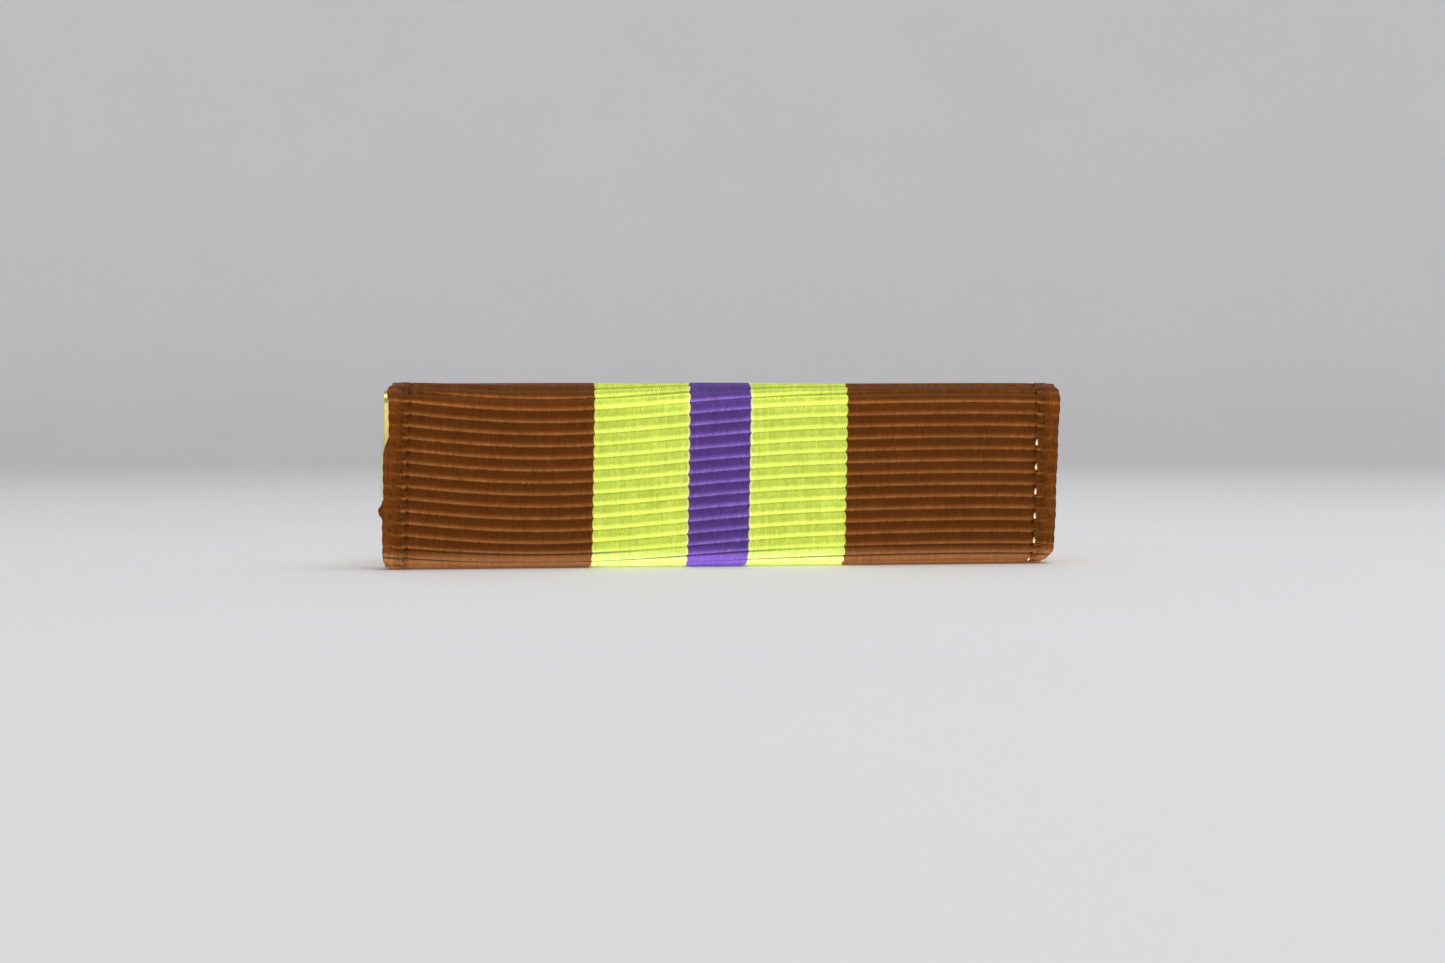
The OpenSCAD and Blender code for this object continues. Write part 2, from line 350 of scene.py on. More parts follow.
# rows of points: where each rib is cut across, in ribs from its middle, closest together by its lower groove
RIB_CUTS = np.array([-0.5, -0.47, -0.4, -0.32, -0.22, -0.08, 0.1, 0.28, 0.44])
ROW_GAP = 0.03  # least distance from a row to the ribbon's cut edge
CUT_PHASE = 0.2  # the phase in a rib, and so the height, of the ribbon at its cut edges
BOW_FADE = 5.2  # the bow fades out from here to the cut edge

# columns of points
LEFT_BAND = 1.18  # width of each selvedge
RIGHT_BAND = 1.16
BAND_COLUMNS = 17
MIDDLE_COLUMNS = 246

# heights are shares of RIB_DEPTH
RIB_HEIGHT = 0.95
RIB_SPREAD = 0.05  # from one rib to the next
SWELL = 0.05  # along a rib
SWELL_TURN = 0.45  # radians for each millimetre
SWELL_SHIFT = 1.7  # radians for each rib

BAND_BORDER = (0.94, 1.02)  # the selvedge gives way to the ribs between these shares of its width
BAND_HEIGHT = 0.42
CROWN = 0.33
CROWN_NEAR = 1.9  # the crown rises from the outer edge to its top at 1 / 1.9 of the selvedge's width
RIDGE_FLAT = 0.25  # how much of the ribs shows in the selvedges on the face
RIDGE_MORE = 0.6  # and how much more near the long edges
RIDGE_SPAN = (3.1, 3.9)  # up or down the wrap
RIDGE_LEAST = 0.3  # share of the ridges left at the outer edge
PICK = 0.06  # a fine wave
PICKS_PER_RIB = 2
UNREST = 0.07
UNREST_TURNS = (12.6, 9, 2)  # radians for each rib and for a selvedge's width, and a stray few

NOTCH_WIDTH = 0.075  # the groove between selvedge and ribs, in selvedge widths
NOTCH_DEEP = 0.62
NOTCH_SHALLOWER = 0.42  # how much less on a crest
DEEPEST = 0.9  # the most that a groove sinks, as a share of the ribbon's thickness
INNER_FACE = 0.97  # where the inner face lies, as a share of it

WANDER = 0.018  # of the outer edge, in a long wave
WANDER_TURN = 2.1
WANDER_START = 0.6
SCALLOP_OUT = 0.012  # of the outer edge, at each rib


def rib_profile(phase):
    """Height of a rib, from 0 in its grooves to 1 on its crest, for a phase from -0.5 to 0.5."""
    v = phase + 0.5
    steep = np.clip((RIB_CREST - v) / RIB_CREST, 0, 1) ** RIB_LOWER_FALL
    gentle = np.clip((v - RIB_CREST) / (1 - RIB_CREST), 0, 1) ** RIB_UPPER_FALL
    return 1 - steep - gentle


def ribbon_rows():
    """For each row of points: its place in ribs, its phase in a rib, its rib, and its place on the wrap."""
    numbers = np.arange(-RIBS, RIBS + 1)
    u = (numbers[:, None] + RIB_CUTS[None, :]).ravel()
    phase = np.tile(RIB_CUTS, len(numbers))
    rib = np.repeat(numbers, len(RIB_CUTS))
    s = (u + RIB_PHASE) * RIB_PITCH
    keep = np.abs(s) < HALF_CUT - ROW_GAP
    u, phase, rib, s = u[keep], phase[keep], rib[keep], s[keep]
    u = np.concatenate([[-HALF_CUT / RIB_PITCH - RIB_PHASE], u, [HALF_CUT / RIB_PITCH - RIB_PHASE]])
    phase = np.concatenate([[CUT_PHASE], phase, [CUT_PHASE]])
    rib = np.concatenate([rib[:1], rib, rib[-1:]])
    s = np.concatenate([[-HALF_CUT], s, [HALF_CUT]])
    return u, phase, rib, s


def ribbon_columns():
    """The columns' places along the bar, closer together in the selvedges."""
    left = np.linspace(-HALF_W, -HALF_W + LEFT_BAND, BAND_COLUMNS)[:-1]
    middle = np.linspace(-HALF_W + LEFT_BAND, HALF_W - RIGHT_BAND, MIDDLE_COLUMNS)
    right = np.linspace(HALF_W - RIGHT_BAND, HALF_W, BAND_COLUMNS)[1:]
    return np.concatenate([left, middle, right])


def selvedge_height(u, s, across, round_top):
    """Height of the selvedges: a low crown, flattened ribs, picks and restless threads."""
    crown = np.sqrt(np.clip(1 - (1 - np.clip(across, 0, 1) * CROWN_NEAR) ** 2, 0, 1))
    picks = 0.5 + 0.5 * np.cos(2 * math.pi * PICKS_PER_RIB * u)[:, None]
    per_rib, per_band, stray = UNREST_TURNS
    unrest = UNREST * np.sin(per_rib * u[:, None] + per_band * across + stray * np.sin(u[:, None]))
    ridge = (RIDGE_FLAT + RIDGE_MORE * smoothstep(*RIDGE_SPAN, np.abs(s)))[:, None] * (round_top - 0.5)
    return BAND_HEIGHT + CROWN * crown + ridge * np.clip(across, RIDGE_LEAST, 1) + PICK * picks + unrest


def weave_height(u, phase, rib, s, x, across):
    """Height of the weave at each point of the sheet."""
    # each rib is a little fuller or flatter than the next, and swells along its length
    full = rng.normal(0, RIB_SPREAD, RIB_DRAWS)[rib + RIBS + 1]
    swell = SWELL * np.sin(x[None, :] * SWELL_TURN + SWELL_SHIFT * rib[:, None])
    round_top = rib_profile(phase)[:, None]
    height = round_top * (RIB_HEIGHT + full[:, None] + swell)

    border, ribs_from = BAND_BORDER
    on_band = 1 - smoothstep(border, ribs_from, across)
    height = height * (1 - on_band) + selvedge_height(u, s, across, round_top) * on_band

    # a groove cuts the selvedges off from the ribs, deepest between two ribs
    notch = bell(across, 1.0, NOTCH_WIDTH)
    return height - notch * (NOTCH_DEEP - NOTCH_SHALLOWER * round_top)


def sheet_faces(rows, cols):
    """Faces of a closed sheet: a grid in front, and behind it only the two end points of each row."""
    first_inner = rows * cols

    def at(row, col):
        return row * cols + col

    def behind(row, end):
        return first_inner + row * 2 + end

    faces = []
    for row in range(rows - 1):
        for col in range(cols - 1):
            faces.append((at(row, col), at(row, col + 1), at(row + 1, col + 1), at(row + 1, col)))
        faces.append((behind(row, 0), behind(row + 1, 0), behind(row + 1, 1), behind(row, 1)))
        faces.append((at(row, 0), at(row + 1, 0), behind(row + 1, 0), behind(row, 0)))
        faces.append((at(row, cols - 1), behind(row, 1), behind(row + 1, 1), at(row + 1, cols - 1)))
    last = rows - 1
    faces.append((*[at(0, col) for col in range(cols)][::-1], behind(0, 0), behind(0, 1)))
    faces.append((*[at(last, col) for col in range(cols)], behind(last, 1), behind(last, 0)))
    return faces


def build_ribbon():
    u, phase, rib, flat_s = ribbon_rows()
    x = ribbon_columns()
    rows, cols = len(u), len(x)
    fade = 1 - smoothstep(BOW_FADE, HALF_CUT, np.abs(flat_s))
    s = flat_s[:, None] + bow(x)[None, :] * fade[:, None]

    # 0 at the outer edge of a selvedge, 1 where it meets the ribs, and more between the two selvedges
    across = np.minimum((x + HALF_W)[None, :] / LEFT_BAND, (HALF_W - x)[None, :] / RIGHT_BAND)
    sink = RIB_DEPTH * (1 - weave_height(u, phase, rib, flat_s, x, across))
    sink = np.clip(sink, 0, THICK * DEEPEST)

    # the outer edge is scalloped and slightly restless
    wander = WANDER * np.sin(flat_s * WANDER_TURN + WANDER_START) + SCALLOP_OUT * np.cos(2 * math.pi * u)
    shape = place_on_ribbon(x[None, :], s, 0)
    shape[..., 0] += wander[:, None] * np.clip(1 - across, 0, 1) * np.sign(x)[None, :]
    _, _, ny, nz = wrap(s)
    outer = shape - np.stack([0 * sink, ny * sink, nz * sink], -1)
    ends = [0, cols - 1]
    inner = (shape - THICK * INNER_FACE * np.stack([0 * sink, ny, nz], -1))[:, ends]

    verts = np.concatenate([outer.reshape(-1, 3), inner.reshape(-1, 3)]) * MM
    ribbon = new_object("woven_ribbon", verts, sheet_faces(rows, cols))
    xs = np.concatenate([np.broadcast_to(x, (rows, cols)).ravel(), np.tile(x[ends], rows)])
    us = np.concatenate([np.repeat(u + 0.5, cols), np.repeat(u + 0.5, 2)])
    ss = np.concatenate([s.ravel(), s[:, ends].ravel()])
    add_weave(ribbon, xs, us, ss)
    return ribbon


# ---------------------------------------------------------------- ribbon: threads

TUBE_SIDES = 6
GUIDE = np.array([0.31, 0.17, 0.93])  # a direction that no thread follows
TINY = 1e-12


def tube(path, radius, sides=TUBE_SIDES):
    """Verts and faces of a closed-ended tube along a path of points; radius is one number or one a point."""
    path = np.asarray(path, float)
    radius = np.broadcast_to(np.asarray(radius, float), len(path))
    along = np.gradient(path, axis=0)
    along /= np.linalg.norm(along, axis=1)[:, None] + TINY
    across = np.cross(along, GUIDE)
    across /= np.linalg.norm(across, axis=1)[:, None]
    other = np.cross(along, across)
    turn = np.arange(sides) * 2 * math.pi / sides
    ring = across[:, None] * np.cos(turn)[None, :, None] + other[:, None] * np.sin(turn)[None, :, None]
    verts = (path[:, None] + ring * radius[:, None, None]).reshape(-1, 3)
    faces = []
    for i in range(len(path) - 1):
        for j in range(sides):
            k = (j + 1) % sides
            faces.append((i * sides + j, i * sides + k, (i + 1) * sides + k, (i + 1) * sides + j))
    faces.append(tuple(range(sides))[::-1])
    faces.append(tuple((len(path) - 1) * sides + j for j in range(sides)))
    return verts, faces


def build_threads(name, threads):
    """One object from several threads, each a (points, radius, x, u)."""
    verts, faces, xs, us = [], [], [], []
    count = 0
    for points, radius, x, u in threads:
        v, f = tube(points, radius)
        verts.append(v)
        faces += [tuple(i + count for i in face) for face in f]
        xs.append(np.full(len(v), x))
        us.append(np.full(len(v), u))
        count += len(v)
    obj = new_object(name, np.concatenate(verts) * MM, faces)
    add_weave(obj, np.concatenate(xs), np.concatenate(us), np.zeros(count))
    return obj


# the stitches of the right selvedge, one above another
STITCH = 1.28  # from one to the next
STITCHES_EACH_WAY = 5
STITCH_START = 0.42  # height of the middle one
STITCH_GAP = (2.2, 5.4)  # there are none between these heights

# a stitch's knot: three loops, one inside another
LOOP_SIZES = (1.0, 0.66, 0.32)
LOOP_REACH = 0.42  # towards the ribbon's outer edge
REACH_SPREAD = 0.03
LOOP_RISE = 0.36  # above and below the stitch's middle
RISE_SPREAD = 0.02
LOOP_TURN = 1.75  # radians each way
LOOP_POINTS = 15
LOOP_SHIFT = 0.08
LOOP_SINK = (0.08, 0.03, 0.02)  # for any loop, how much more for a large one, and less at its far point
LOOP_R = 0.078
LOOP_COLOUR_X = HALF_W - 0.5  # where on the weave a loop takes its colour from
LOOP_COLOUR_U = 0.6

# the bar that shows at the foot of each knot: thread, painted pale as a glint
BAR_POINTS = 9
BAR_SHIFT = 0.02
BAR_BEND = 0.05
BAR_DROP = 0.1
BAR_HALF = 0.19
BAR_SINK = (0.05, 0.08)  # at its middle, and how much more at its ends
BAR_R = 0.066
BLUNT = 1.05  # above 1, so that a bar's ends aren't points
BAR_COLOUR_U = 0.2


def build_stitches():
    """The thread of the right selvedge: the knots bound into it, and the bar that closes each one, painted
    pale as a glint.
    """
    threads, bars = [], []
    edge = HALF_W - RIGHT_BAND
    any_loop, large, far = LOOP_SINK
    gap_from, gap_to = STITCH_GAP
    at_middle, at_ends = BAR_SINK
    for i in range(-STITCHES_EACH_WAY, STITCHES_EACH_WAY + 1):
        s0 = STITCH_START + i * STITCH
        if gap_from < s0 < gap_to:
            continue
        reach = rng.normal(LOOP_REACH, REACH_SPREAD)
        rise = rng.normal(LOOP_RISE, RISE_SPREAD)
        a = np.linspace(-LOOP_TURN, LOOP_TURN, LOOP_POINTS)
        for size in LOOP_SIZES:
            x = edge + LOOP_SHIFT + size * reach * np.cos(a)
            s = s0 + size * rise * np.sin(a)
            points = place_on_ribbon(x, s, -any_loop - large * size + far * np.cos(a))
            threads.append((points, LOOP_R, LOOP_COLOUR_X, LOOP_COLOUR_U))
        a = np.linspace(-1, 1, BAR_POINTS)
        x = edge + BAR_SHIFT + BAR_BEND * a**2
        points = place_on_ribbon(x, s0 - BAR_DROP + BAR_HALF * a, -at_middle - at_ends * a**2)
        bars.append((points, BAR_R * np.sqrt(BLUNT - a**2), edge, BAR_COLOUR_U))
    return build_threads("selvedge_loops", threads), build_threads("selvedge_stitch_glints", bars)


# the yarn ends at the two cut edges
END_MARGIN = 0.2  # from the ribbon's ends to the first and last of them
END_STEP = (0.1, 0.17)
END_LENGTH = (0.03, 0.16)
END_ROOT = 0.06  # how much of each lies inside the ribbon
END_SINK = 0.18
END_DROOP = 0.12
END_STRAY = 0.05
END_POINTS = 4
END_R = 0.055
END_TAPER = 0.35


def build_cut_ends():
    """Yarn ends that stand out of the two cut edges behind the bar."""
    threads = []
    for side in (-1, 1):
        x = -HALF_W + END_MARGIN
        while x < HALF_W - END_MARGIN:
            length = rng.uniform(*END_LENGTH)
            t = np.linspace(0, 1, END_POINTS)
            s = side * (HALF_CUT - END_ROOT + (length + END_ROOT) * t)
            lift = -END_SINK - rng.uniform(0, END_DROOP) * t
            points = place_on_ribbon(x + rng.normal(0, END_STRAY) * t, s, lift)
            threads.append((points, END_R * (1 - END_TAPER * t), x, rng.uniform(0, 1)))
            x += rng.uniform(*END_STEP)
    return build_threads("cut_yarn_ends", threads)


# the tuft of frayed fibres at the left end
FRAY_COUNT = 150
FRAY_AT = -1.8  # height of its middle
FRAY_SPREAD = 0.16
FRAY_WIDTH = 0.22
FRAY_REACH = 0.24
FRAY_SHARE = (0.4, 1.0)  # of that reach, from fibre to fibre
FRAY_ROOT = 0.1
FRAY_CURL = (1.4, 2.4)  # radians: past a quarter turn a fibre bends back
FRAY_SPLAY = 0.4
FRAY_STRAY = 0.06
FRAY_KINK = 0.02
KINK_TURN = 5
KINK_START = (0, 6)
FRAY_SINK = 0.12
FRAY_DROOP = (-0.05, 0.2)
FRAY_POINTS = 6
FRAY_R = 0.022
FRAY_TAPER = (1.1, 0.5)  # share of that radius at the root, and how much of it is lost at the tip
FRAY_COLOUR_U = (0.1, 0.9)


def build_fray():
    """The small tuft of loose fibres at the left selvedge."""
    threads = []
    at_root, lost = FRAY_TAPER
    for _ in range(FRAY_COUNT):
        off = rng.normal(0, FRAY_SPREAD)
        reach = rng.uniform(*FRAY_SHARE) * FRAY_REACH * bell(off, 0, FRAY_WIDTH)
        t = np.linspace(0, 1, FRAY_POINTS)
        x = -HALF_W + FRAY_ROOT - (reach + FRAY_ROOT) * np.sin(t * rng.uniform(*FRAY_CURL))
        splay = (off * FRAY_SPLAY + rng.normal(0, FRAY_STRAY)) * t
        s = FRAY_AT + off + splay + FRAY_KINK * np.sin(KINK_TURN * t + rng.uniform(*KINK_START))
        points = place_on_ribbon(x, s, -FRAY_SINK - rng.uniform(*FRAY_DROOP) * t)
        threads.append((points, FRAY_R * (at_root - lost * t), -HALF_W, rng.uniform(*FRAY_COLOUR_U)))
    return build_threads("frayed_selvedge", threads)


# ---------------------------------------------------------------- ribbon: material

# the stripes are measured from the middle of the bar, and the ribbon was glued on a little to the left
STRIPE_SHIFT = -0.3
PURPLE_SHIFT = -0.37
LIME_HALF = 6.54  # from that middle to a lime stripe's outer border
PURPLE_HALF = 1.58
STRIPE_SOFT = 0.03
SCALLOP = 0.07  # how far the lime swells over its neighbours in the middle of each rib
SCALLOP_LEVEL = 0.6
RIM_OFF = 0.06  # a pale line runs this far outside the purple
RIM_FADE = (0.02, 0.07)
RIM_STRENGTH = 0.6

BROWN = (0.093, 0.0236, 0.0027)
LIME = (0.56, 0.67, 0.088)
LIME_RIM = (0.78, 0.86, 0.36)
PURPLE = (0.079, 0.036, 0.192)
BROWN_PAINTED_LINE = (0.172, 0.064, 0.016)  # painted highlight: the yarns' colour along the line where they climb out of a groove; the lime one is darker, a painted shade on that line
LIME_PAINTED_LINE = (0.31, 0.37, 0.064)
PURPLE_PAINTED_LINE = (0.155, 0.087, 0.27)
BROWN_LOWER_EDGE_LIGHT = (0.195, 0.076, 0.026)  # painted light: the yarns pulled round the lower edge, lighter there
LIME_LOWER_EDGE_LIGHT = (0.6, 0.72, 0.2)
PURPLE_LOWER_EDGE_LIGHT = (0.18, 0.088, 0.44)
BROWN_SHINE = (0.4, 0.19, 0.06)  # the tint of their gloss
LIME_SHINE = (0.4, 0.44, 0.2)
PURPLE_SHINE = (0.33, 0.2, 0.55)

# Below, four numbers are where a change starts and ends along what it follows, and its values there.
# A noise's three numbers are its scale, detail and roughness.
BLOTCH_NOISE = (900, 3, 0.6)
FINE_NOISE = (9000, 2, 0.6)
GRAIN_NOISE = (1.0, 3, 0.6)
STREAK_NOISE = (1.0, 4, 0.65)
FIBRE_NOISE = (1.0, 3, 0.7)
MOST_NOISE = (0.3, 0.7)  # nearly all of a noise's values lie between these

# painted light and shade across each rib, lighter on one side of its grooves, as if light soaked through the
# yarns and filled them
SOAK_AT = 0.92  # where in a rib it is strongest
SOAK_SHADE = 0.15
SOAK_LIME = (0.07, 0.98)  # the lime yarns' extra share of it, and their shade

# the warp yarns run up the face, over the ribs, on a slant
YARN = 0.113
YARN_SLANT = 5.0  # radians for each rib
YARN_BUMP = (0.5, 0.03 * MM)  # strength and height

# the painted highlight line, where the yarns climb out of a groove
LINE_TEETH = 0.17  # how far it is toothed by the yarns, in ribs
LINE_FADE = (0.02, 0.17)
LINE_RISE = (-FLAT_HALF + 0.2, -FLAT_HALF - 0.9, 0.35, 0.02)  # it moves up a rib as the ribbon turns under
LINE_YARN = (0.1, 0.9, 0.45, 1.2)
LINE_BLOTCH = (0.75, 1.15)
LINE_GRAIN = (0.6, 1.35)
GRAIN_STRETCH = (5.5, 1.3)  # cells for each millimetre along a rib, and for each rib
LINE_ON_BAND = (0.15, 0.45, 1.0, 0.1)  # the line dies out across a selvedge
LINE_BY_EDGE = (3.2, 3.9, 0.0, 0.9)  # except near the long edges
KNOT_AT = 0.14  # the painted highlight also lies on a row of knots just inside the selvedge's border
KNOT_FADE = (0.04, 0.13)
KNOT_STRENGTH = 1.3
# painted light on the lower edge: where it starts and ends round the wrap, and its share
LOWER_EDGE_LIGHT_SPAN = (-FLAT_HALF - 0.1, -FLAT_HALF - 0.75, 0.0, 0.9)

# shades: factors on the colour
BLOTCH_SHADE = (0.94, 1.05)
FINE_SHADE = (0.93, 1.06)
YARN_SHADE = (0.0, 1.0, 0.93, 1.05)
GRAIN_SHADE = (0.9, 1.08)
STREAK_STRETCH = (4.0, 0.25)  # cells for each millimetre along the bar, and round the wrap
STREAK_SHADE = (0.35, 0.72, 0.94, 1.1)
# painted light: the upper edge lighter where it turns over the backing
UPPER_EDGE_PAINTED_LIGHT = (FLAT_HALF - 0.5, FLAT_HALF + 0.4, 1.0, 1.4)

# the selvedges: long fibres, a dash for each pick, a paler outer rim, and painted shade in the seam at the
# border
FIBRE_STRETCH = (2.2, 11.0, 1.6)  # cells for each millimetre: two for the slant, and one up the wrap
FIBRE_SHADE = (0.32, 0.7, 0.68, 1.25)
RIM_SHADE = (0.35, 0.9, 0.94, 1.22)
BAND_SHADE = 0.94  # the sum of these that leaves the colour as it is
BAND_START = (0.0, 0.08)
DASH_STRAY = 0.9
DASH_FADE = (0.12, 0.4)
DASH_SHADE = (0.3, 0.6, 0.34, 0.08)
SEAM_OUT = 0.04
SEAM_FADE = (0.02, 0.12)
SEAM_SHADE = (0.35, 1.0, 0.4, 0.16)

# painted shade in the grooves, which shut where the ribbon turns over the backing's long edges
SHUT_BELOW = (-FLAT_HALF + 0.1, -FLAT_HALF - 0.6, 0.0, 0.85)
SHUT_ABOVE = (FLAT_HALF, FLAT_HALF + 0.8, 0.0, 0.15)
GROOVE = (0.3, 0.48)  # from a rib's middle, in ribs

WEAVE_ROUGH = 0.5
WEAVE_GLOSS = 0.5

# painted glint: the binding thread's pale colours stand in for the gloss at each knot's foot
GLINT_THREAD_DARK = (0.62, 0.4, 0.24)
GLINT_THREAD_PALE = (0.9, 0.72, 0.52)
THREAD_PLIES = 4000
THREAD_ROUGH = 0.35
THREAD_BUMP = (0.4, 0.02 * MM)


def stripe_masks(n, x, bulge):
    """Where the lime stripes are, where the purple one is, and the pale line at its borders."""
    scallop = n.math("MULTIPLY", n.math("SUBTRACT", bulge, SCALLOP_LEVEL), SCALLOP)
    from_lime = n.math("SUBTRACT", n.away(x, STRIPE_SHIFT), scallop)
    from_purple = n.math("ADD", n.away(x, PURPLE_SHIFT), scallop)
    lime = n.ramp(from_lime, LIME_HALF + STRIPE_SOFT, LIME_HALF - STRIPE_SOFT)
    purple = n.ramp(from_purple, PURPLE_HALF + STRIPE_SOFT, PURPLE_HALF - STRIPE_SOFT)
    rim = n.ramp(n.away(from_purple, PURPLE_HALF + RIM_OFF), *RIM_FADE, RIM_STRENGTH, 0.0)
    return lime, purple, rim


def painted_highlight_lines(n, u, s, yarn, blotch, grain, selvedge):
    """The painted highlight in each rib, toothed by the yarns, and on the knots where it meets a selvedge."""
    toothed = n.math("MULTIPLY_ADD", yarn, LINE_TEETH, u)
    along_rib = n.math("FRACT", n.math("ADD", toothed, n.ramp(s, *LINE_RISE)))
    line = n.fade(n.away(along_rib, 0.5), *LINE_FADE)
    on_band = n.ramp(selvedge, *LINE_ON_BAND)
    by_edge = n.ramp(n.math("ABSOLUTE", s), *LINE_BY_EDGE)
    painted_highlight = n.product(
        line,
        n.ramp(yarn, *LINE_YARN),
        n.ramp(blotch, *MOST_NOISE, *LINE_BLOTCH),
        n.ramp(grain, *MOST_NOISE, *LINE_GRAIN),
        n.math("MAXIMUM", on_band, by_edge),
    )
    knot = n.product(n.fade(n.away(selvedge, KNOT_AT), *KNOT_FADE), line)
    return n.math("MAXIMUM", painted_highlight, n.math("MULTIPLY", knot, KNOT_STRENGTH))


def band_shade(n, x, u, s, selvedge):
    """The selvedges' own shade: fibres, dashes and rim."""
    from_s, from_x, up = FIBRE_STRETCH
    slanted = n.math("MULTIPLY_ADD", s, from_s, n.math("MULTIPLY", x, from_x))
    fibres = n.noise(n.plane(slanted, n.math("MULTIPLY", s, up)), *FIBRE_NOISE)
    picks = n.math("MULTIPLY_ADD", u, float(PICKS_PER_RIB), n.math("MULTIPLY", fibres, DASH_STRAY))
    dash = n.ramp(n.away(n.math("FRACT", picks), 0.5), *DASH_FADE)
    dash = n.product(dash, n.ramp(selvedge, *DASH_SHADE))
    bound = n.product(n.ramp(fibres, *FIBRE_SHADE), n.ramp(selvedge, *RIM_SHADE))
    bound = n.math("SUBTRACT", n.math("SUBTRACT", bound, dash), BAND_SHADE)
    return n.math("MULTIPLY_ADD", bound, n.ramp(selvedge, *BAND_START), 1.0)


def seam_painted_shade(n, bulge, selvedge):
    """Painted shade in the seam between selvedge and ribs, darkest between two ribs."""
    seam = n.fade(n.math("ABSOLUTE", n.math("ADD", selvedge, SEAM_OUT)), *SEAM_FADE)
    return n.math("SUBTRACT", 1.0, n.product(seam, n.ramp(bulge, *SEAM_SHADE)))


def painted_groove_shade(n, phase, s):
    # painted shade in a rib's grooves near the long edges
    shut = n.math("MAXIMUM", n.ramp(s, *SHUT_BELOW), n.ramp(s, *SHUT_ABOVE))
    groove = n.ramp(n.away(phase, 0.5), *GROOVE)
    return n.math("MULTIPLY_ADD", n.product(groove, shut), -1.0, 1.0)


def ribbon_material():
    """Striped grosgrain with painted highlights and shade, placed by its "weave" attribute: along the bar, in
    ribs, and round the wrap.
    """
    mat, tree, bsdf = new_material("ribbon_weave")
    n = Nodes(tree)
    weave = n.add("ShaderNodeAttribute", attribute_type="GEOMETRY", attribute_name="weave")
    parts = n.add("ShaderNodeSeparateXYZ")
    n.join(weave.outputs["Vector"], parts.inputs[0])
    x, u, s = parts.outputs
    phase = n.math("FRACT", u)  # 0 in a rib's lower groove, 1 in its upper one
    bulge = n.math("SINE", n.math("MULTIPLY", phase, math.pi))
    place = n.place()
    blotch = n.noise(place, *BLOTCH_NOISE)
    fine = n.noise(place, *FINE_NOISE)
    along, per_rib = GRAIN_STRETCH
    grain_at = n.plane(n.math("MULTIPLY", x, along), n.math("MULTIPLY", u, per_rib))
    grain = n.noise(grain_at, *GRAIN_NOISE)
    along, up = STREAK_STRETCH
    streak_at = n.plane(n.math("MULTIPLY", x, along), n.math("MULTIPLY", s, up))
    streak = n.noise(streak_at, *STREAK_NOISE)
    slant = n.math("MULTIPLY_ADD", u, YARN_SLANT, n.math("MULTIPLY", x, 2 * math.pi / YARN))
    yarn = n.math("MULTIPLY_ADD", n.math("SINE", slant), 0.5, 0.5)
    # painted light and shade by the place in a rib
    soak_painted_light = n.math("COSINE", n.math("MULTIPLY_ADD", phase, 2 * math.pi, -2 * math.pi * SOAK_AT))
    in_left = n.math("SUBTRACT", LEFT_BAND - HALF_W, x)
    in_right = n.math("SUBTRACT", x, HALF_W - RIGHT_BAND)
    selvedge = n.math("MAXIMUM", in_left, in_right)  # above 0 on either selvedge
    on_lime, on_purple, rim = stripe_masks(n, x, bulge)

    def striped(brown, lime, purple):
        return n.mix(on_purple, n.mix(on_lime, brown, lime), purple)

    lime = n.tint(n.mix(rim, LIME, LIME_RIM), n.math("MULTIPLY_ADD", soak_painted_light, *SOAK_LIME))
    painted_highlight = painted_highlight_lines(n, u, s, yarn, blotch, grain, selvedge)
    # painted highlight along each rib; in the lime, painted shade
    colour = n.mix(painted_highlight, striped(BROWN, lime, PURPLE), striped(BROWN_PAINTED_LINE, LIME_PAINTED_LINE, PURPLE_PAINTED_LINE))
    # painted light where the ribbon turns round the lower edge
    colour = n.mix(n.ramp(s, *LOWER_EDGE_LIGHT_SPAN), colour, striped(BROWN_LOWER_EDGE_LIGHT, LIME_LOWER_EDGE_LIGHT, PURPLE_LOWER_EDGE_LIGHT))
    shade = n.product(
        n.ramp(blotch, *MOST_NOISE, *BLOTCH_SHADE),
        n.ramp(fine, *MOST_NOISE, *FINE_SHADE),
        n.ramp(yarn, *YARN_SHADE),
        n.ramp(grain, *MOST_NOISE, *GRAIN_SHADE),
        n.ramp(streak, *STREAK_SHADE),
        band_shade(n, x, u, s, selvedge),
        # painted shade in the seam at each selvedge's border
        seam_painted_shade(n, bulge, selvedge),
        # painted light and shade across each rib
        n.math("MULTIPLY_ADD", soak_painted_light, SOAK_SHADE, 1.0),
        # painted light on the upper edge
        n.ramp(s, *UPPER_EDGE_PAINTED_LIGHT),
        # painted shade in the grooves near the long edges
        painted_groove_shade(n, phase, s),
    )
    n.join(n.tint(colour, shade), bsdf.inputs["Base Color"])
    bsdf.inputs["Roughness"].default_value = WEAVE_ROUGH
    bsdf.inputs["Specular IOR Level"].default_value = WEAVE_GLOSS
    n.join(striped(BROWN_SHINE, LIME_SHINE, PURPLE_SHINE), bsdf.inputs["Specular Tint"])
    n.join(n.bump(yarn, *YARN_BUMP), bsdf.inputs["Normal"])
    return mat


def glint_thread_material():
    """Binding thread with a fine twist, smooth and painted pale as a glint on each stitch."""
    mat, tree, bsdf = new_material("binding_thread_glint")
    n = Nodes(tree)
    ply = n.add("ShaderNodeTexWave", wave_type="BANDS", bands_direction="DIAGONAL")
    n.join(n.place(), ply.inputs["Vector"])
    ply.inputs["Scale"].default_value = THREAD_PLIES
    n.join(n.mix(ply.outputs["Fac"], GLINT_THREAD_DARK, GLINT_THREAD_PALE), bsdf.inputs["Base Color"])
    bsdf.inputs["Roughness"].default_value = THREAD_ROUGH
    n.join(n.bump(ply.outputs["Fac"], *THREAD_BUMP), bsdf.inputs["Normal"])
    return mat


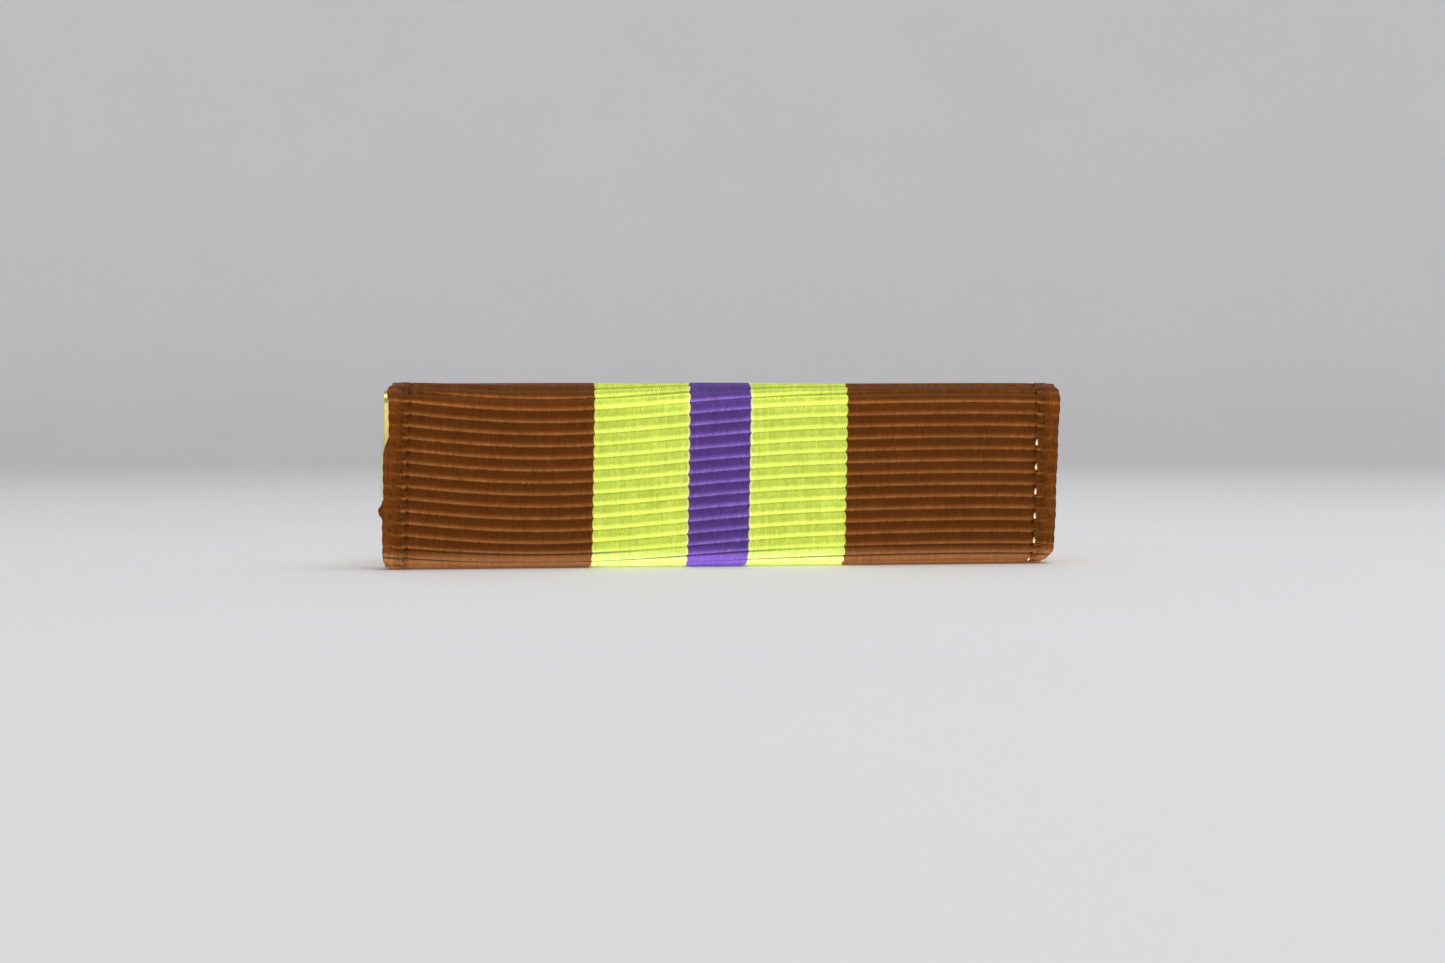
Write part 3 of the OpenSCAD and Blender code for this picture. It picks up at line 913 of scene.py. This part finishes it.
RIBBON = build_ribbon()
LOOPS, STITCH_GLINTS = build_stitches()
THREADS = [LOOPS, STITCH_GLINTS, build_cut_ends(), build_fray()]
WEAVE = ribbon_material()
for piece in [RIBBON, *THREADS]:
    dress(piece, WEAVE)
dress(STITCH_GLINTS, glint_thread_material())
for piece in [RIBBON, *THREADS]:
    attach(piece, "ribbon_unit")
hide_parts("ribbon")


# ---------------------------------------------------------------- glue

GLUE_HALF_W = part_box("ribbon_backing")[1].x / MM
CORNERS = 4  # of the film's cross-section
FILM_ROWS = 120
FILM_MARGIN = 0.15  # from the ribbon's cut edges to the film's
FILM_SHARE = 0.97  # of the gap that the film fills

BEAD_TOP = 1.95  # heights of the bead's two ends
BEAD_FOOT = -1.3
BEAD_POINTS = 48
BEAD_SIDES = 16
BEAD_R = 0.03  # at its ends
BEAD_SWELL = 0.1
BEAD_FULLNESS = 0.7  # below 1, so that it swells out soon after each end
BEAD_LUMP = (0.05, 0.84, 0.09)  # how much thicker, and its place and width as shares of the bead's length
BEAD_WAVES = (0.008, 23)  # size, and radians over its length
BEAD_CAP = 8  # the higher, the blunter its two ends
BEAD_CAP_LEAST = 0.02
BEAD_TUCK = (0.02, 0.9)  # how it stands against the backing's edge: an overlap, and a share of its radius
BEAD_DEPTH = 0.8  # share of the glue's thickness
BEAD_SNAKE = (0.02, 9)

BEAD_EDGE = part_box("ribbon_backing")[0].x  # the bead stands out past the backing's left edge

GLUE_NOISE = (1500, 3, 0.5)
GLUE_DARK = (0.55, 0.5, 0.34)
GLUE_PALE = (0.82, 0.8, 0.66)
GLUE_ROUGH = (0.35, 0.65, 0.08, 0.22)
GLUE_BUMP = (0.4, 0.04 * MM)
GLUE_CLEAR = (0.93, 0.93, 0.86)
GLUE_RIM = 0.35
RIM_CLOUD = 0.5
GLUE_CLOUD = (0.1, 0.25)
EDGE_BLUR = 0.05 * MM
FILM_CLOUD = 0.15  # share of the bead's cloudiness that the film has


def build_film():
    """The thin film of glue between the ribbon and its backing."""
    s = np.linspace(-HALF_CUT + FILM_MARGIN, HALF_CUT - FILM_MARGIN, FILM_ROWS)
    y, z, ny, nz = wrap(s)
    inner = THICK + GLUE_T * FILM_SHARE
    corners = []
    for side, lift in ((-1, THICK), (1, THICK), (1, inner), (-1, inner)):
        corners.append(np.stack([np.full_like(s, side * GLUE_HALF_W), y - ny * lift, z - nz * lift], -1))
    verts = np.stack(corners, 1).reshape(-1, 3)
    faces = []
    for row in range(len(s) - 1):
        for k in range(CORNERS):
            a, b = row * CORNERS + k, row * CORNERS + (k + 1) % CORNERS
            faces.append((a, b, b + CORNERS, a + CORNERS))
    faces.append(tuple(range(CORNERS))[::-1])
    faces.append(tuple(len(verts) - CORNERS + k for k in range(CORNERS)))
    return new_object("glue_film", verts * MM, faces, smooth=False)


def build_bead():
    """The lumpy bead of glue squeezed out at the left end."""
    t = np.linspace(0, 1, BEAD_POINTS)
    lump, lump_at, lump_width = BEAD_LUMP
    wave, wave_turn = BEAD_WAVES
    radius = BEAD_R + BEAD_SWELL * np.sin(math.pi * t) ** BEAD_FULLNESS + lump * bell(t, lump_at, lump_width)
    cap = np.sqrt(np.clip(1 - (2 * t - 1) ** BEAD_CAP, BEAD_CAP_LEAST, 1))
    radius = radius * cap + wave * np.sin(wave_turn * t)
    overlap, stand = BEAD_TUCK
    snake, snake_turn = BEAD_SNAKE
    path = np.stack(
        [
            -GLUE_HALF_W + overlap - stand * radius,
            FRONT + THICK + GLUE_T * BEAD_DEPTH + snake * np.sin(snake_turn * t),
            BEAD_TOP + (BEAD_FOOT - BEAD_TOP) * t,
        ],
        -1,
    )
    verts, faces = tube(path, radius, BEAD_SIDES)
    return new_object("glue_bead", verts * MM, faces)


def glue_material():
    """Clear dried glue: mostly see-through, a little clouded, with a hard gloss."""
    mat, tree, bsdf = new_material("clear_glue")
    n = Nodes(tree)
    cloud = n.noise(n.place(), *GLUE_NOISE)
    n.join(n.mix(cloud, GLUE_DARK, GLUE_PALE), bsdf.inputs["Base Color"])
    n.join(n.ramp(cloud, *GLUE_ROUGH), bsdf.inputs["Roughness"])
    n.join(n.bump(cloud, *GLUE_BUMP), bsdf.inputs["Normal"])
    parts = n.add("ShaderNodeSeparateXYZ")
    n.join(n.place(), parts.inputs[0])
    on_bead = n.ramp(parts.outputs[0], BEAD_EDGE, BEAD_EDGE - EDGE_BLUR)
    clear = n.add("ShaderNodeBsdfTransparent")
    n.join(GLUE_CLEAR, clear.inputs[0])
    facing = n.add("ShaderNodeLayerWeight")
    facing.inputs["Blend"].default_value = GLUE_RIM
    clouded = n.ramp(cloud, *MOST_NOISE, *GLUE_CLOUD)
    rim = n.math("MULTIPLY", facing.outputs["Facing"], RIM_CLOUD)
    body = n.math("ADD", clouded, rim, clamp=True)
    body = n.math("MULTIPLY", body, n.math("MULTIPLY_ADD", on_bead, 1 - FILM_CLOUD, FILM_CLOUD))
    both = n.add("ShaderNodeMixShader")
    n.join(body, both.inputs[0])
    n.join(clear.outputs[0], both.inputs[1])
    n.join(bsdf.outputs[0], both.inputs[2])
    out = tree.nodes["Material Output"]
    n.join(both.outputs[0], out.inputs["Surface"])
    return mat


GLUE = glue_material()
FILM, BEAD = build_film(), build_bead()
for piece in (FILM, BEAD):
    dress(piece, GLUE)
    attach(piece, "ribbon_unit")
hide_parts("adhesive_film")


# ---------------------------------------------------------------- metal

TARNISH_NOISE = (260, 4, 0.6)
BRUSH_NOISE = (5200, 3, 0.65)
TARNISH = (0.42, 0.68, 0.0, 0.75)
ROUGH_CLOUD = 0.7  # shares of tarnish and of brushing in the roughness
ROUGH_BRUSH = 0.3
ROUGH_RANGE = 0.16
BEVEL_SAMPLES = 4
BEVEL_R = 0.05 * MM
SCRATCHES = (0.3, 0.004 * MM)

# the ways that metal is brushed: the grain is stretched along the axis with the small number
ALONG_BAR = (0.04, 1, 1)
ALONG_PIN = (1, 0.05, 1)
ALONG_SPRING = (1, 1, 0.05)
EVENLY = (1, 1, 1)

# for each slot: the clean colour, the roughness, what tarnish leaves of the colour, and the brushing
METALS = {
    "backing_brass": ((0.95, 0.76, 0.3), 0.24, (0.85, 0.8, 0.66), ALONG_BAR),
    "bar_brass": ((0.84, 0.62, 0.27), 0.26, (0.62, 0.5, 0.3), ALONG_BAR),
    "clutch_brass": ((0.9, 0.69, 0.32), 0.16, (0.8, 0.72, 0.55), EVENLY),
    "spring_brass": ((0.88, 0.66, 0.3), 0.22, (0.75, 0.68, 0.5), ALONG_SPRING),
    "pin_metal": ((0.72, 0.72, 0.71), 0.2, (0.8, 0.79, 0.76), ALONG_PIN),
    "solder": ((0.55, 0.56, 0.57), 0.42, (0.7, 0.7, 0.7), EVENLY),
}


def metal(name, colour, rough, tarnish, brush):
    """Metal with a little tarnish, fine brushing and soft edges."""
    mat, tree, bsdf = new_material(name)
    n = Nodes(tree)
    cloud = n.noise(n.place(), *TARNISH_NOISE)
    grain = n.noise(n.place(brush), *BRUSH_NOISE)
    dull = tuple(c * f for c, f in zip(colour, tarnish))
    n.join(n.mix(n.ramp(cloud, *TARNISH), colour, dull), bsdf.inputs["Base Color"])
    bsdf.inputs["Metallic"].default_value = 1.0
    uneven = n.math("ADD", n.math("MULTIPLY", cloud, ROUGH_CLOUD), n.math("MULTIPLY", grain, ROUGH_BRUSH))
    n.join(n.ramp(uneven, *MOST_NOISE, rough, rough + ROUGH_RANGE), bsdf.inputs["Roughness"])
    bevel = n.add("ShaderNodeBevel", samples=BEVEL_SAMPLES)
    bevel.inputs["Radius"].default_value = BEVEL_R
    n.join(n.bump(grain, *SCRATCHES, bevel.outputs[0]), bsdf.inputs["Normal"])
    return mat


materials = {slot: metal(slot, *look) for slot, look in METALS.items()}
for part in frame["record"]["subparts"]:
    if part["material_slot"] in materials:
        dress(frame["nodes"][part["node"]], materials[part["material_slot"]])


# ---------------------------------------------------------------- studio

# the floor, in metres: flat, then a curve up to a wall
FLOOR_GAP = 0.02 * MM
FLOOR_R = 0.3
CURVE_R = 0.15
CURVE_STEPS = 12
WALL_H = 0.45
FLOOR_TURNS = 72
PAPER_NOISE = (30, 3, 0.5)
PAPER_DARK = (0.76, 0.76, 0.77)
PAPER_PALE = (0.8, 0.8, 0.81)
PAPER_ROUGH = 0.9

# for each light: where it stands in metres, its power in watts, and its size in metres
LIGHTS = {
    "low_key": ((-0.02, -0.1, -0.155), 0.5, 0.07),  # from low in front: it draws the ribs
    "top_soft": ((0.05, -0.05, 0.28), 0.5, 0.25),  # from above: it softens the shadows
    "front_card": ((-0.035, -0.35, 0.01), 0.13, 0.15),  # from the front: the brass mirrors it
}
WORLD_COLOUR = (1, 1, 1)
WORLD_STRENGTH = 0.45


def make_floor():
    """A pale floor under the bar that curves up to a wall all round, and casts no shadow itself."""
    floor_z = CAD_BOX[0].z - FLOOR_GAP
    outline = [(FLOOR_R / 2, 0.0), (FLOOR_R, 0.0)]
    for i in range(1, CURVE_STEPS + 1):
        a = i / CURVE_STEPS * math.pi / 2
        outline.append((FLOOR_R + CURVE_R * math.sin(a), CURVE_R * (1 - math.cos(a))))
    outline.append((FLOOR_R + CURVE_R, WALL_H))
    turns = [2 * math.pi * t / FLOOR_TURNS for t in range(FLOOR_TURNS)]
    verts = [(r * math.cos(turn), r * math.sin(turn), floor_z + z) for r, z in outline for turn in turns]
    verts.append((0, 0, floor_z))
    faces = []
    for ring in range(len(outline) - 1):
        for t in range(FLOOR_TURNS):
            a, b = ring * FLOOR_TURNS + t, ring * FLOOR_TURNS + (t + 1) % FLOOR_TURNS
            faces.append((a, a + FLOOR_TURNS, b + FLOOR_TURNS, b))
    faces += [(len(verts) - 1, t, (t + 1) % FLOOR_TURNS) for t in range(FLOOR_TURNS)]
    floor = new_object("studio_floor", verts, faces)
    mat, tree, bsdf = new_material("studio_paper")
    n = Nodes(tree)
    n.join(n.mix(n.noise(n.place(), *PAPER_NOISE), PAPER_DARK, PAPER_PALE), bsdf.inputs["Base Color"])
    bsdf.inputs["Roughness"].default_value = PAPER_ROUGH
    dress(floor, mat)
    floor.visible_shadow = False


def make_light(name, place, power, size):
    """A square lamp that faces the bar's middle."""
    data = bpy.data.lights.new(name, "AREA")
    data.energy = power
    data.size = size
    light = bpy.data.objects.new(name, data)
    bpy.context.scene.collection.objects.link(light)
    light.location = place
    light.rotation_mode = "QUATERNION"
    light.visible_camera = False
    light.rotation_quaternion = (-Vector(place)).to_track_quat("-Z", "Y")


def make_world():
    world = bpy.data.worlds.new("studio")
    bpy.context.scene.world = world
    world.use_nodes = True
    back = world.node_tree.nodes["Background"]
    back.inputs["Color"].default_value = (*WORLD_COLOUR, OPAQUE)
    back.inputs["Strength"].default_value = WORLD_STRENGTH


make_floor()
make_world()
for light_name, light_look in LIGHTS.items():
    make_light(light_name, *light_look)
bpy.context.scene.view_settings.view_transform = "Standard"
